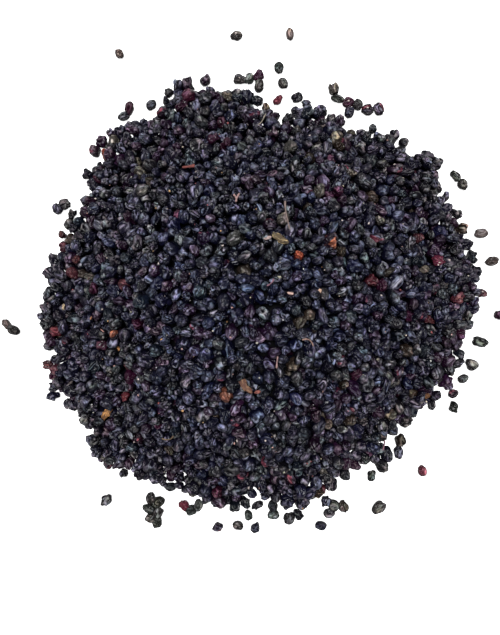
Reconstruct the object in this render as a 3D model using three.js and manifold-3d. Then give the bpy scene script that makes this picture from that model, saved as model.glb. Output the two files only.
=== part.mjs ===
// A poured heap of dried elderberries lying on a flat surface, with the loose berries and small
// clumps that rolled clear of it, and the bits of dried stalk and husk that lie on it.
//
// Millimetres, +Z up. The origin is on the surface, under the middle of the heap.
//
// The heap is one closed body, covered in facetted domes that are spread as evenly as the seeds of a
// sunflower, fewer and larger than the berries of a real heap. Round its foot the berries are true
// to size, and lie as they would when poured: they are dropped one by one at seeded random places,
// each rolls a little way down to the lowest spot near where it lands, and those at the edge are
// fused to the body whole.

import * as THREE from "three";
import { mergeVertices } from "three/addons/utils/BufferGeometryUtils.js";
import Module from "manifold-3d";

const wasm = await Module();
wasm.setup();

// ---------------------------------------------------------------- driving dimensions

// The heap: a cone with a rounded top.
const HEAP_HEIGHT = 38;
const CONE_RADIUS = 80;
const TOP_ROUNDING = 0.25; // share of the cone's radius over which its tip is rounded
// The heap's foot is ragged, so it has a radius of its own every 7.5 degrees, from +X round
// through +Y.
const FOOT_RADII = [
  86, 87, 83, 83, 82, 89, 82, 83, 76, 78, 77, 70, 76, 83, 87, 86, 81, 84, 83, 80, 76, 77, 77, 81,
  82, 80, 83, 86, 81, 82, 88, 83, 80, 78, 83, 79, 75, 82, 81, 76, 72, 79, 75, 77, 77, 80, 80, 82,
];
// Round the foot the cone stops short in a low bank, which runs out in single berries.
const BANK = { height: 8, from: 0.9, to: 1 };

// The berries, as the round bodies that they roll and rest as.
const BERRY_RADIUS = { least: 1.6, most: 2.4 };
const FOOT_SHRINK = 0.14; // berries at the cone's radius are smaller by this share
const POUR_SEED = 20261;
const DROPS = 10000;
const ROLL_REACH = 2.6; // how far a wrinkled berry rolls before it stays put
const FIRST_STEP = 0.8;
const LAST_STEP = 0.1;

// The fused body.
const DOMES = 366; // fewer than in life, and larger, so that they still cover the heap
const DOME_RADIUS = { least: 2.7, most: 3.3 };
const DOME_DEPTH = 2; // their middles lie this far under the heap's height
const DOME_JOSTLE = 0.45;
const DOME_BITE = 0.97; // a corner that is deeper than this share of a radius in another is left out
const DOME_SIDES = 5;
const GOLDEN_TURN = Math.PI * (3 - Math.sqrt(5));
const DOME_RIM = { out: 0.74, up: 0.67 }; // the edge of a dome's top, as shares of its radius
const GROOVE_RISE = 0.12; // grooves lie this share of a radius above two berries' middles
const PIT_RISE = -0.2; // and where three berries meet, this share: below them
const DOME_CLEARANCE = 0.35; // no groove is nearer than this to a dome's corner
const LEAST_SKIN = 0.8; // grooves near the foot stay this high
const TOE_SHARE = { least: 0.92, most: 0.95 }; // where the body's own edge meets the surface
const TOE_STEPS = 80;
const TOE_PULL = 0.5;
const TOE_RISE = 0.8; // the body's edge stands this high
const TOE_CLEARANCE = 3.8; // and keeps this far from the middles of the loose berries
const TOE_CLEAR_BAND = 1; // no corner of a dome or groove is nearer than this to the edge
const DOME_MARGIN = 1.6; // domes stay this far inside that edge
const FRINGE_DEPTH = 1.5; // berries less far inside that edge are whole, and fused to the body
const FRINGE_RISE = 2.2; // a berry whose middle is under this many radii high lies on the surface
const FRINGE_SPACING = 4.5;
const FRINGE_SWELL = 1.22; // touching berries bite into each other by this much

// Berries and clumps that lie clear of the heap: middle, length, width and turn in degrees.
const STRAY_BERRIES = [
  { x: -7.1, y: 100.0, length: 4.5, width: 3.6, turn: 2 },
  { x: 13.1, y: 100.7, length: 4.5, width: 3.1, turn: 97 },
  { x: -51.2, y: 93.2, length: 3.8, width: 3.1, turn: 131 },
  { x: 9.0, y: 87.6, length: 4.4, width: 3.8, turn: 85 },
  { x: 10.5, y: 81.9, length: 4.7, width: 3.8, turn: 117 },
  { x: 8.6, y: 75.8, length: 4.4, width: 3.3, turn: 52 },
  { x: 15.8, y: 76.6, length: 4.5, width: 3.6, turn: 10 },
  { x: -39.1, y: 73.8, length: 4.4, width: 3.7, turn: 60 },
  { x: 85.0, y: 25.5, length: 5.1, width: 3.8, turn: 176 },
  { x: 89.2, y: 15.0, length: 5.0, width: 3.5, turn: 1 },
  { x: 92.0, y: -5.3, length: 4.4, width: 3.4, turn: 80 },
  { x: 84.6, y: -15.5, length: 6.0, width: 4.2, turn: 166 },
  { x: 81.7, y: -24.1, length: 5.2, width: 4.2, turn: 137 },
  { x: 78.4, y: -29.2, length: 4.3, width: 3.6, turn: 30 },
  { x: 74.8, y: -40.1, length: 4.6, width: 3.6, turn: 117 },
  { x: 74.6, y: -34.9, length: 4.2, width: 3.5, turn: 20 },
  { x: 63.1, y: -64.0, length: 4.4, width: 3.5, turn: 96 },
  { x: 46.6, y: -77.6, length: 6.1, width: 4.3, turn: 47 },
  { x: 43.9, y: -65.8, length: 4.4, width: 3.6, turn: 75 },
  { x: -56.1, y: -74.9, length: 4.8, width: 4.0, turn: 45 },
  { x: -14.0, y: -85.2, length: 4.3, width: 3.4, turn: 15 },
  { x: -6.5, y: -84.5, length: 4.5, width: 3.6, turn: 150 },
  { x: 0.2, y: -85.4, length: 4.2, width: 3.6, turn: 40 },
  { x: 24.8, y: -84.6, length: 4.6, width: 3.6, turn: 170 },
  { x: 0.9, y: -77.1, length: 4.6, width: 3.3, turn: 35 },
  { x: -2.4, y: -80.8, length: 4.2, width: 3.5, turn: 100 },
];
const STRAY_CLUMPS = [
  // a chain that lies in a bow
  [
    { x: 29.5, y: 79.8, length: 4.3, width: 3.7, turn: 110 },
    { x: 31.1, y: 76.3, length: 4.8, width: 3.2, turn: 160 },
    { x: 35.0, y: 74.7, length: 4.2, width: 3.6, turn: 20 },
    { x: 38.5, y: 73.9, length: 4.6, width: 3.6, turn: 140 },
    { x: 35.5, y: 71.1, length: 4.0, width: 3.4, turn: 70 },
    { x: 42.4, y: 71.9, length: 4.7, width: 3.8, turn: 10 },
    { x: 46.4, y: 72.2, length: 4.6, width: 3.8, turn: 120 },
  ],
  [
    { x: -5.9, y: 83.3, length: 4.6, width: 3.6, turn: 165 },
    { x: -2.2, y: 83.7, length: 4.2, width: 3.6, turn: 60 },
    { x: 1.3, y: 84.8, length: 4.3, width: 3.7, turn: 30 },
    { x: 1.5, y: 81.0, length: 4.6, width: 3.6, turn: 80 },
  ],
  [
    { x: -39.2, y: -74.3, length: 4.4, width: 3.7, turn: 100 },
    { x: -36.3, y: -75.7, length: 4.2, width: 3.6, turn: 30 },
    { x: -39.9, y: -78.1, length: 4.6, width: 3.6, turn: 150 },
    { x: -36.6, y: -79.3, length: 4.4, width: 3.8, turn: 70 },
    { x: -39.4, y: -81.7, length: 4.2, width: 3.6, turn: 10 },
    { x: -36.9, y: -83.2, length: 4.5, width: 3.6, turn: 95 },
  ],
  [
    { x: -27.1, y: -76.9, length: 4.6, width: 3.7, turn: 130 },
    { x: -24.0, y: -78.9, length: 4.5, width: 3.6, turn: 20 },
    { x: -21.2, y: -76.9, length: 4.3, width: 3.6, turn: 80 },
  ],
  [
    { x: 12.8, y: -81.8, length: 4.6, width: 3.9, turn: 60 },
    { x: 16.2, y: -80.5, length: 4.2, width: 3.6, turn: 140 },
  ],
  [
    { x: 26.6, y: -75.5, length: 4.4, width: 3.6, turn: 70 },
    { x: 29.7, y: -77.0, length: 4.5, width: 3.7, turn: 150 },
    { x: 27.9, y: -79.9, length: 4.3, width: 3.6, turn: 20 },
    { x: 33.2, y: -77.5, length: 4.6, width: 3.6, turn: 100 },
  ],
  // pairs
  [
    { x: -74.3, y: 34.5, length: 4.4, width: 3.7, turn: 100 },
    { x: -71.7, y: 36.3, length: 4.2, width: 3.8, turn: 30 },
  ],
  [
    { x: -91.0, y: -10.9, length: 4.6, width: 3.7, turn: 150 },
    { x: -93.7, y: -8.9, length: 4.0, width: 2.9, turn: 120 },
  ],
  [
    { x: -47.4, y: 72.5, length: 4.8, width: 3.2, turn: 74 },
    { x: -49.4, y: 69.5, length: 4.4, width: 3.2, turn: 12 },
  ],
  [
    { x: 75.6, y: 47.0, length: 4.5, width: 3.4, turn: 130 },
    { x: 78.2, y: 43.8, length: 4.4, width: 3.5, turn: 110 },
  ],
  [
    { x: 54.6, y: -52.4, length: 4.6, width: 3.7, turn: 95 },
    { x: 54.2, y: -56.9, length: 4.8, width: 3.7, turn: 85 },
  ],
  [
    { x: 7.0, y: -80.4, length: 4.4, width: 3.7, turn: 20 },
    { x: 6.7, y: -77.2, length: 4.3, width: 3.6, turn: 100 },
  ],
];
const POUR_CLEARANCE = 3.9; // the heap's berries keep this far from them, middle to middle
const FRINGE_CLEARANCE = 5.2; // and those that are fused to the heap whole, this far
const STRAY_HEIGHT = 0.9; // height as a share of the width
const CLUMP_SWELL = 1.2;
const STRAY_SIDES = 6;
const STRAY_RINGS = [
  { out: 0.45, up: 0 },
  { out: 0.93, up: 0.28 },
  { out: 0.98, up: 0.62 },
  { out: 0.6, up: 0.9 },
];
const FRINGE_SIDES = 5;
const FRINGE_RINGS = [
  { out: 0.5, up: 0 },
  { out: 1, up: 0.45 },
  { out: 0.66, up: 0.85 },
];
const DENT = { least: 1.04, most: 0.9 }; // how far a berry's corners are pushed in or out
const SHAPE_SEED = 77;

// Bits of dried stalk, by the places they pass over, and husks, as the berries are given.
const STALK_RADIUS = 0.35;
const STALK_SIDES = 5;
const STALK_STEPS = 5;
const STALK_PROBES = 24; // places along a stalk at which the height under it is measured
const STALK_BITS = [
  [[9.1, 30.2], [9.2, 26.1], [10.2, 20.3]],
  [[5.2, 5.4], [4.6, 4.2], [3.1, 3.2]],
  [[13.9, -13.1], [16.2, -13.1], [17.6, -15.2]],
  [[6.6, -18.1], [6.4, -19.8], [6.3, -21.9]],
  [[-32.8, -48.5], [-30.1, -48.7], [-28.3, -47.0]],
  [[3.9, 68.6], [2.7, 65.3], [0.8, 62.9]],
  [[-5.3, 33.0], [-6.1, 31.0], [-6.2, 30.0]],
  [[47.1, -51.0], [47.1, -53.0], [46.6, -54.9]],
  [[-25.2, 45.3], [-23.1, 45.3], [-20.6, 45.5]],
];
const HUSK_HEIGHT = 1.1;
const HUSK_PROBES = [0.25, 0.5]; // and under a husk, at these shares of its length all round
const HUSK_BITS = [
  { x: 7.2, y: 17.5, length: 5.2, width: 2.4, turn: 148 },
  { x: -3.9, y: -27.2, length: 6.6, width: 2.6, turn: 121 },
  { x: -53.8, y: -41.0, length: 5.4, width: 2.8, turn: 54 },
  { x: 63.1, y: -35.1, length: 2.6, width: 2.2, turn: 20 },
];
const CLEARANCE = 0.4; // what lies on the heap is this far clear of it
const FUSE_TOLERANCE = 0.01;
const HEAP_LEAST_SHARE = 0.98; // the share of the heap that must hold together as one body

const LOOKS = {
  berry: { name: "dried_berry_skin", color: "#2b2a33", roughness: 0.65 },
  stalk: { name: "dried_stalk", color: "#9a5b45", roughness: 0.8 },
  husk: { name: "dried_husk", color: "#7d6440", roughness: 0.85 },
};

// ---------------------------------------------------------------- seeded draws

// Lehmer's generator: exact in doubles, so a seed gives the same heap everywhere.
function seededDraw(seed) {
  let state = seed;
  return (low = 0, high = 1) => {
    state = (state * 48271) % 2147483647;
    return low + ((high - low) * state) / 2147483647;
  };
}

// ---------------------------------------------------------------- the heap's shape

// The foot's radius in the direction of a point, smoothly between the stated ones.
function footRadius(x, y) {
  const count = FOOT_RADII.length;
  const turn = (Math.atan2(y, x) / (2 * Math.PI) + 1) * count;
  const before = Math.floor(turn);
  const share = turn - before;
  const ease = share * share * (3 - 2 * share);
  return FOOT_RADII[before % count] * (1 - ease) + FOOT_RADII[(before + 1) % count] * ease;
}

// How far out a point is, as a share of the foot's radius there.
function footShare(x, y) {
  return Math.sqrt(x * x + y * y) / footRadius(x, y);
}

// The square of how far out a point is, as a share of the cone's radius.
function coneShare(x, y) {
  return (x * x + y * y) / (CONE_RADIUS * CONE_RADIUS);
}

function heapHeight(x, y) {
  const rounded = Math.sqrt(coneShare(x, y) + TOP_ROUNDING * TOP_ROUNDING);
  const cone = (HEAP_HEIGHT * (1 - rounded)) / (1 - TOP_ROUNDING);
  const bank = BANK.height * Math.min(1, (BANK.to - footShare(x, y)) / (BANK.to - BANK.from));
  return Math.max(cone, bank);
}

// The way out of the heap, square to its slope.
function wayOut(x, y) {
  const step = 2;
  const east = heapHeight(x - step, y) - heapHeight(x + step, y);
  const north = heapHeight(x, y - step) - heapHeight(x, y + step);
  return new THREE.Vector3(east, north, 2 * step).normalize();
}

// ---------------------------------------------------------------- pouring

const DIAGONAL = 0.7071067811865476;
const COMPASS = [
  [1, 0],
  [DIAGONAL, DIAGONAL],
  [0, 1],
  [-DIAGONAL, DIAGONAL],
  [-1, 0],
  [-DIAGONAL, -DIAGONAL],
  [0, -1],
  [DIAGONAL, -DIAGONAL],
];

// The height at which a berry's middle comes to rest over a point.
function restingHeight(x, y, r, near) {
  let z = r;
  for (const other of near) {
    const dx = x - other.x;
    const dy = y - other.y;
    const reach = r + other.r;
    const rise = reach * reach - dx * dx - dy * dy;
    if (rise > 0) z = Math.max(z, other.z + Math.sqrt(rise));
  }
  return z;
}

// Rolls a berry downhill from where it lands, in ever smaller steps.
function rollDown(x, y, r, near) {
  let at = { x, y, z: restingHeight(x, y, r, near), r };
  let step = FIRST_STEP;
  while (step > LAST_STEP) {
    let lowest = at;
    for (const [east, north] of COMPASS) {
      const nx = at.x + east * step;
      const ny = at.y + north * step;
      const strayed = (nx - x) * (nx - x) + (ny - y) * (ny - y);
      if (strayed > ROLL_REACH * ROLL_REACH) continue;
      const nz = restingHeight(nx, ny, r, near);
      if (nz < lowest.z) lowest = { x: nx, y: ny, z: nz, r };
    }
    if (lowest === at) step /= 2;
    else at = lowest;
  }
  return at;
}

function pourBerries(strays) {
  const draw = seededDraw(POUR_SEED);
  const widest = BANK.to * Math.max(...FOOT_RADII);
  const reach = ROLL_REACH + 2 * BERRY_RADIUS.most;
  const bins = new Map();
  const bin = (v) => Math.floor(v / reach);
  const near = (x, y) => {
    const found = [];
    for (let i = bin(x) - 1; i <= bin(x) + 1; i++)
      for (let j = bin(y) - 1; j <= bin(y) + 1; j++) found.push(...(bins.get(i + "," + j) ?? []));
    return found;
  };
  const berries = [];
  for (let drop = 0; drop < DROPS; ) {
    const x = draw(-widest, widest);
    const y = draw(-widest, widest);
    const level = draw(0, HEAP_HEIGHT);
    const size = draw(BERRY_RADIUS.least, BERRY_RADIUS.most);
    const r = size * (1 - FOOT_SHRINK * coneShare(x, y));
    // More berries fall where the heap is high.
    if (level > heapHeight(x, y)) continue;
    drop += 1;
    const berry = rollDown(x, y, r, near(x, y));
    if (berry.z > Math.max(r, heapHeight(berry.x, berry.y))) continue;
    if (footShare(berry.x, berry.y) > BANK.to) continue;
    if (strays.some((stray) => distance(stray, berry) < POUR_CLEARANCE)) continue;
    berries.push(berry);
    const key = bin(berry.x) + "," + bin(berry.y);
    if (!bins.has(key)) bins.set(key, []);
    bins.get(key).push(berry);
  }
  return berries;
}

// ---------------------------------------------------------------- plane geometry

function distance(a, b) {
  return Math.hypot(a.x - b.x, a.y - b.y);
}

function distanceToEdge(point, a, b) {
  const along = (point.x - a.x) * (b.x - a.x) + (point.y - a.y) * (b.y - a.y);
  const share = Math.min(1, Math.max(0, along / distance(a, b) ** 2));
  return distance(point, { x: a.x + share * (b.x - a.x), y: a.y + share * (b.y - a.y) });
}

function edgesOf(loop) {
  return loop.map((point, i) => [point, loop[(i + 1) % loop.length]]);
}

function isInside(point, loop) {
  const crossed = edgesOf(loop).filter(([a, b]) => {
    if (a.y > point.y === b.y > point.y) return false;
    return point.x < a.x + ((b.x - a.x) * (point.y - a.y)) / (b.y - a.y);
  });
  return crossed.length % 2 === 1;
}

// How far inside a loop a point is: less than nothing outside it.
function depthInside(point, loop) {
  const nearest = Math.min(...edgesOf(loop).map(([a, b]) => distanceToEdge(point, a, b)));
  return isInside(point, loop) ? nearest : -nearest;
}

function middleOf(corners) {
  const middle = new THREE.Vector3();
  for (const { x, y, z } of corners) middle.add(new THREE.Vector3(x, y, z));
  return middle.divideScalar(corners.length);
}

// A triangle of a net, by the indices of its corners, with the circle through them.
function netTriangle(points, a, b, c) {
  const bx = points[b].x - points[a].x;
  const by = points[b].y - points[a].y;
  const cx = points[c].x - points[a].x;
  const cy = points[c].y - points[a].y;
  const bend = 2 * (bx * cy - by * cx);
  const x = (cy * (bx * bx + by * by) - by * (cx * cx + cy * cy)) / bend;
  const y = (bx * (cx * cx + cy * cy) - cx * (bx * bx + by * by)) / bend;
  return { corners: [a, b, c], x: points[a].x + x, y: points[a].y + y, square: x * x + y * y };
}

// The Delaunay net of scattered points, built up one point at a time. Each triangle is three
// indices that turn anticlockwise.
function delaunayNet(points) {
  const far = 4000;
  const count = points.length;
  const all = [...points, { x: -far, y: -far }, { x: far, y: -far }, { x: 0, y: far }];
  let net = [netTriangle(all, count, count + 1, count + 2)];
  points.forEach((point, index) => {
    const kept = [];
    const hole = new Map();
    for (const triangle of net) {
      const dx = point.x - triangle.x;
      const dy = point.y - triangle.y;
      if (dx * dx + dy * dy >= triangle.square) {
        kept.push(triangle);
        continue;
      }
      const [a, b, c] = triangle.corners;
      for (const [from, to] of [[a, b], [b, c], [c, a]])
        if (!hole.delete(to + "," + from)) hole.set(from + "," + to, [from, to]);
    }
    for (const [from, to] of hole.values()) kept.push(netTriangle(all, from, to, index));
    net = kept;
  });
  return net.map(({ corners }) => corners).filter((corners) => Math.max(...corners) < count);
}

// ---------------------------------------------------------------- solids

function facetGeometry(points, triangles) {
  const geometry = new THREE.BufferGeometry();
  const flat = points.flatMap(({ x, y, z }) => [x, y, z]);
  geometry.setAttribute("position", new THREE.Float32BufferAttribute(flat, 3));
  geometry.setIndex(triangles.flat());
  return geometry;
}

function toManifold(geometry) {
  const welded = mergeVertices(geometry, 1e-4);
  return new wasm.Manifold(
    new wasm.Mesh({
      numProp: 3,
      vertProperties: new Float32Array(welded.attributes.position.array),
      triVerts: new Uint32Array(welded.index.array),
    }),
  );
}

function fromManifold(solid) {
  const { vertProperties, triVerts } = solid.getMesh();
  const geometry = new THREE.BufferGeometry();
  geometry.setAttribute("position", new THREE.BufferAttribute(vertProperties, 3));
  geometry.setIndex(new THREE.BufferAttribute(triVerts, 1));
  return geometry;
}

// Fuses solids into one body. A scrap that meets nothing is dropped, down to the share given.
function fuse(geometries, leastShare) {
  const whole = wasm.Manifold.union(geometries.map(toManifold)).simplify(FUSE_TOLERANCE);
  const bodies = whole.decompose().sort((a, b) => b.volume() - a.volume());
  const share = bodies[0].volume() / whole.volume();
  if (share < leastShare) throw new Error(`only ${share} of a fused body holds together`);
  return fromManifold(bodies[0]);
}

// A dried berry: rings of corners between its ends, each corner pushed in or out a little. The
// first ring is flat and closes the berry below; the others rise to a single corner on top.
function berryGeometry({ x, y, length, width, turn, height, floor = 0 }, rings, sides, draw) {
  const heading = THREE.MathUtils.degToRad(turn);
  const points = rings.flatMap(({ out, up }, ring) =>
    Array.from({ length: sides }, (_, side) => {
      const angle = ((side + (ring % 2) / 2) / sides) * 2 * Math.PI;
      const shrunk = ring === 0 ? 1 : draw(DENT.most, DENT.least);
      const along = (Math.cos(angle) * out * shrunk * length) / 2;
      const across = (Math.sin(angle) * out * shrunk * width) / 2;
      return {
        x: x + along * Math.cos(heading) - across * Math.sin(heading),
        y: y + along * Math.sin(heading) + across * Math.cos(heading),
        z: floor + up * height,
      };
    }),
  );
  const top = points.push({ x, y, z: floor + height }) - 1;
  const triangles = [];
  for (let side = 1; side < sides - 1; side++) triangles.push([0, side + 1, side]);
  rings.forEach((_, ring) => {
    for (let side = 0; side < sides; side++) {
      const here = ring * sides + side;
      const next = ring * sides + ((side + 1) % sides);
      if (ring === rings.length - 1) {
        triangles.push([here, next, top]);
        continue;
      }
      // Every second ring is turned half a side.
      const turned = ring % 2 === 1;
      const aboveHere = here + sides;
      const aboveNext = next + sides;
      if (turned) triangles.push([here, next, aboveNext], [here, aboveNext, aboveHere]);
      else triangles.push([here, next, aboveHere], [next, aboveNext, aboveHere]);
    }
  });
  return facetGeometry(points, triangles);
}

// ---------------------------------------------------------------- the heap

// The line in which the fused body meets the surface. It keeps back from the loose berries.
function toeLine(strays, draw) {
  return Array.from({ length: TOE_STEPS }, (_, step) => {
    const angle = (step / TOE_STEPS) * 2 * Math.PI;
    const east = Math.cos(angle);
    const north = Math.sin(angle);
    let out = footRadius(east, north) * draw(TOE_SHARE.least, TOE_SHARE.most);
    while (strays.some((stray) => distance(stray, { x: out * east, y: out * north }) < TOE_CLEARANCE))
      out -= TOE_PULL;
    return { x: out * east, y: out * north, z: TOE_RISE };
  });
}

// The berries that cover the heap: evenly spread, as seeds are on a sunflower, and then jostled.
function coveringBerries(toe, draw) {
  const spread = Array.from({ length: DOMES }, (_, index) => {
    const angle = index * GOLDEN_TURN;
    const share = TOE_SHARE.least * Math.sqrt((index + 0.5) / DOMES);
    const out = share * footRadius(Math.cos(angle), Math.sin(angle));
    const x = out * Math.cos(angle) + draw(-DOME_JOSTLE, DOME_JOSTLE);
    const y = out * Math.sin(angle) + draw(-DOME_JOSTLE, DOME_JOSTLE);
    const z = heapHeight(x, y) - DOME_DEPTH + draw(-DOME_JOSTLE, DOME_JOSTLE);
    return { x, y, z, r: draw(DOME_RADIUS.least, DOME_RADIUS.most) };
  });
  return spread.filter((berry) => depthInside(berry, toe) > DOME_MARGIN);
}

// A berry's top: a ring of corners round the point that stands out furthest from the slope.
function domeCorners(berry, draw) {
  const out = wayOut(berry.x, berry.y);
  const middle = new THREE.Vector3(berry.x, berry.y, berry.z);
  const across = new THREE.Vector3(0, 1, 0).cross(out).normalize();
  const along = out.clone().cross(across);
  const start = draw(0, 2 * Math.PI);
  const rim = Array.from({ length: DOME_SIDES }, (_, side) => {
    const angle = start + (side / DOME_SIDES) * 2 * Math.PI;
    const reach = DOME_RIM.out * berry.r * draw(DENT.most, DENT.least);
    return middle
      .clone()
      .addScaledVector(across, reach * Math.cos(angle))
      .addScaledVector(along, reach * Math.sin(angle))
      .addScaledVector(out, DOME_RIM.up * berry.r);
  });
  return [middle.clone().addScaledVector(out, berry.r), ...rim];
}

// The bottoms of the grooves: one between each two neighbouring berries, and a deeper one amid
// each three.
function grooveCorners(berries, domes, toe) {
  const stops = [...berries, ...toe.map(({ x, y }) => ({ x, y, z: LEAST_SKIN, r: 0 }))];
  const groups = new Map();
  for (const [a, b, c] of delaunayNet(stops)) {
    groups.set(a + "," + b + "," + c, [a, b, c]);
    for (const [from, to] of [[a, b], [b, c], [c, a]])
      groups.set(Math.min(from, to) + "," + Math.max(from, to), [from, to]);
  }
  return [...groups.values()].flatMap((group) => {
    const around = group.map((index) => stops[index]);
    if (around.every((stop) => stop.r === 0)) return [];
    const middle = middleOf(around);
    const share = group.length === 2 ? GROOVE_RISE : PIT_RISE;
    const rise = around.reduce((sum, stop) => sum + (share * stop.r) / group.length, 0);
    const groove = middle.addScaledVector(wayOut(middle.x, middle.y), rise);
    groove.z = Math.max(LEAST_SKIN, groove.z);
    const clear = domes.every((corner) => distance(corner, groove) > DOME_CLEARANCE);
    return clear && depthInside(groove, toe) > TOE_CLEAR_BAND ? [groove] : [];
  });
}

// The heap's own body: a net of domes and grooves over a flat base.
function reliefGeometry(toe, draw) {
  const standing = coveringBerries(toe, draw);
  const buried = (corner, berry) =>
    standing.some((other) => other !== berry && corner.distanceTo(other) < DOME_BITE * other.r);
  const domes = standing.flatMap((berry) =>
    domeCorners(berry, draw).filter(
      (corner) => !buried(corner, berry) && depthInside(corner, toe) > TOE_CLEAR_BAND,
    ),
  );
  const top = [...toe, ...domes, ...grooveCorners(standing, domes, toe)];
  const net = delaunayNet(top).filter((corners) =>
    isInside(middleOf(corners.map((index) => top[index])), toe),
  );
  const base = toe.map(({ x, y }) => ({ x, y, z: 0 }));
  const outline = toe.map(({ x, y }) => new THREE.Vector2(x, y));
  const floor = THREE.ShapeUtils.triangulateShape(outline, []).map(([a, b, c]) => [
    top.length + c,
    top.length + b,
    top.length + a,
  ]);
  const walls = toe.flatMap((_, here) => {
    const next = (here + 1) % toe.length;
    return [
      [top.length + here, top.length + next, next],
      [top.length + here, next, here],
    ];
  });
  return facetGeometry([...top, ...base], [...net, ...walls, ...floor]);
}

// Whole berries on the surface round the foot.
function fringeGeometries(berries, strays, toe, draw) {
  const chosen = [];
  const onSurface = berries.filter(
    (berry) =>
      berry.z < FRINGE_RISE * berry.r &&
      depthInside(berry, toe) < FRINGE_DEPTH &&
      strays.every((stray) => distance(stray, berry) > FRINGE_CLEARANCE),
  );
  for (const berry of onSurface.sort((a, b) => footShare(a.x, a.y) - footShare(b.x, b.y)))
    if (chosen.every((other) => distance(other, berry) > FRINGE_SPACING)) chosen.push(berry);
  return chosen.map(({ x, y, z, r }) => {
    const size = 2 * r * FRINGE_SWELL;
    const shape = { x, y, length: size, width: size, turn: draw(0, 360), height: z + r };
    return berryGeometry(shape, FRINGE_RINGS, FRINGE_SIDES, draw);
  });
}

// ---------------------------------------------------------------- stalks and husks

// The height of a mesh's top over a point.
function heightOver(mesh, x, y) {
  const down = new THREE.Raycaster(new THREE.Vector3(x, y, 2 * HEAP_HEIGHT), new THREE.Vector3(0, 0, -1));
  const [first] = down.intersectObject(mesh);
  return first ? first.point.z : 0;
}

// A bit of dried stalk that lies on the berries: it leans as they do and rests on the highest.
function stalkGeometry(route, surface) {
  const side = STALK_RADIUS + CLEARANCE;
  const flat = new THREE.CatmullRomCurve3(route.map(([x, y]) => new THREE.Vector3(x, y, 0)));
  const heights = flat.getPoints(STALK_PROBES).map(({ x, y }) => {
    const beside = COMPASS.map(([east, north]) => surface(x + east * side, y + north * side));
    return Math.max(surface(x, y), ...beside);
  });
  const first = heights[0];
  const last = heights[heights.length - 1];
  const lean = (share) => first + (last - first) * share;
  const lift = Math.max(...heights.map((z, i) => z - lean(i / (heights.length - 1))));
  const rest = lift + CLEARANCE + STALK_RADIUS;
  const path = new THREE.CatmullRomCurve3(
    route.map(([x, y], i) => new THREE.Vector3(x, y, lean(i / (route.length - 1)) + rest)),
  );
  const shape = new THREE.Shape(
    Array.from({ length: STALK_SIDES }, (_, corner) => {
      const angle = (corner / STALK_SIDES) * 2 * Math.PI;
      return new THREE.Vector2(STALK_RADIUS * Math.cos(angle), STALK_RADIUS * Math.sin(angle));
    }),
  );
  const options = { steps: STALK_STEPS, extrudePath: path, bevelEnabled: false };
  return new THREE.ExtrudeGeometry(shape, options);
}

// ---------------------------------------------------------------- the assembly

function addPiece(group, name, geometry, look) {
  const mesh = new THREE.Mesh(geometry, new THREE.MeshStandardMaterial({ metalness: 0, ...look }));
  mesh.material.name = look.name;
  mesh.name = name;
  group.add(mesh);
  return mesh;
}

function numbered(stem, index) {
  return `${stem}_${String(index + 1).padStart(2, "0")}`;
}

function buildHeap() {
  const group = new THREE.Group();
  group.name = "dried_elderberry_heap";
  const strays = [...STRAY_BERRIES, ...STRAY_CLUMPS.flat()];
  const berries = pourBerries(strays);
  const draw = seededDraw(SHAPE_SEED);
  const toe = toeLine(strays, draw);
  const relief = reliefGeometry(toe, draw);
  const fringe = fringeGeometries(berries, strays, toe, draw);
  const heap = fuse([relief, ...fringe], HEAP_LEAST_SHARE);
  const heapMesh = addPiece(group, "berry_heap", heap, LOOKS.berry);

  STRAY_BERRIES.forEach((stray, index) => {
    const shape = { ...stray, height: STRAY_HEIGHT * stray.width };
    const geometry = berryGeometry(shape, STRAY_RINGS, STRAY_SIDES, draw);
    addPiece(group, numbered("stray_berry", index), geometry, LOOKS.berry);
  });
  STRAY_CLUMPS.forEach((clump, index) => {
    const berriesOfIt = clump.map((stray) => {
      const { length, width } = stray;
      const shape = {
        ...stray,
        length: length * CLUMP_SWELL,
        width: width * CLUMP_SWELL,
        height: STRAY_HEIGHT * width,
      };
      return berryGeometry(shape, STRAY_RINGS, STRAY_SIDES, draw);
    });
    addPiece(group, numbered("stray_clump", index), fuse(berriesOfIt, 1), LOOKS.berry);
  });

  heapMesh.updateMatrixWorld();
  const surface = (x, y) => heightOver(heapMesh, x, y);
  STALK_BITS.forEach((route, index) => {
    const geometry = stalkGeometry(route, surface);
    addPiece(group, numbered("stalk_bit", index), geometry, LOOKS.stalk);
  });
  HUSK_BITS.forEach((husk, index) => {
    const spots = COMPASS.flatMap(([east, north]) =>
      HUSK_PROBES.map((share) => {
        const out = share * husk.length;
        return surface(husk.x + out * east, husk.y + out * north);
      }),
    );
    const shape = { ...husk, height: HUSK_HEIGHT, floor: Math.max(...spots) + CLEARANCE };
    const geometry = berryGeometry(shape, STRAY_RINGS, STRAY_SIDES, draw);
    addPiece(group, numbered("husk_bit", index), geometry, LOOKS.husk);
  });
  return group;
}

export default buildHeap();
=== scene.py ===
"""A poured heap of dried elderberries, with loose berries, clumps and bits round it and on it.

Metres, +Z up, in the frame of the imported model. The heap's berries are poured by the same rule as
in the model, and each one that shows becomes a wrinkled berry of its own.
"""

import math
from dataclasses import dataclass
from functools import reduce

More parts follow.
